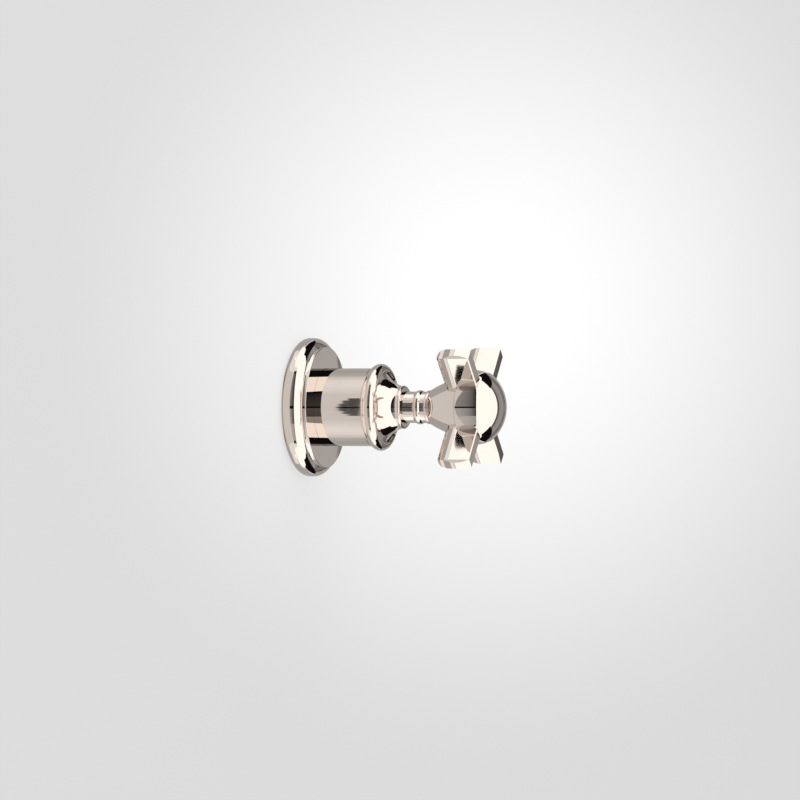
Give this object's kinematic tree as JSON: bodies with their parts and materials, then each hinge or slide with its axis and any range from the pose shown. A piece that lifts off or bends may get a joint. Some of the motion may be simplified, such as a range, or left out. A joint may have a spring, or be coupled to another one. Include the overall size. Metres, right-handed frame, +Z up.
{
  "type": "concealed stop valve",
  "caption": "Wall-mounted concealed stop valve: round wall plate, barrel with bell-shaped cover, cross handle with a dome, and the screw-down valve behind it",
  "frame": {"origin": "On the spindle's axis, in the plane of the finished wall, which is the back of the wall plate", "axes": "-Y out of the wall along the spindle, +Z up along the run of pipe, +X to the right of someone who faces the wall"},
  "size_m": [0.0652, 0.1626, 0.066],
  "materials": {
    "polished_nickel": "polished nickel plate on brass",
    "brass": "turned and cast brass",
    "stainless_steel": "plain",
    "black_rubber": "matt",
    "red_fibre": "matt vulcanised fibre"
  },
  "bodies": {
    "fixed": {"wall_flange": "polished_nickel", "flange_gasket": "black_rubber", "flange_o_ring": "black_rubber", "barrel_sleeve": "polished_nickel", "bell_cover": "polished_nickel", "mounting_sleeve": "brass", "headwork_body": "brass", "headwork_washer": "red_fibre", "valve_body": "brass"},
    "handle": {"cross_handle": "polished_nickel", "dome_cap": "polished_nickel", "handle_screw": "stainless_steel", "neck_sleeve": "polished_nickel", "spindle": "brass", "spindle_o_ring_front": "black_rubber", "spindle_o_ring_back": "black_rubber", "thrust_washer": "stainless_steel", "circlip": "stainless_steel"},
    "carrier": {"valve_carrier": "brass", "seat_washer": "black_rubber", "washer_nut": "brass"}
  },
  "joints": [
    {"name": "handle_turn", "type": "hinge", "parent": "fixed", "child": "handle", "pos_m": [0, -0.08, 0], "axis": [0, -1, 0], "range_deg": [0, 779.5]},
    {"name": "carrier_slide", "type": "slide", "parent": "fixed", "child": "carrier", "axis": [0, -1, 0], "range_m": [0, 0.005]}
  ],
  "couplings": [
    {"joint": "carrier_slide", "follows": "handle_turn", "m_per_rad": 0.00036749}
  ]
}
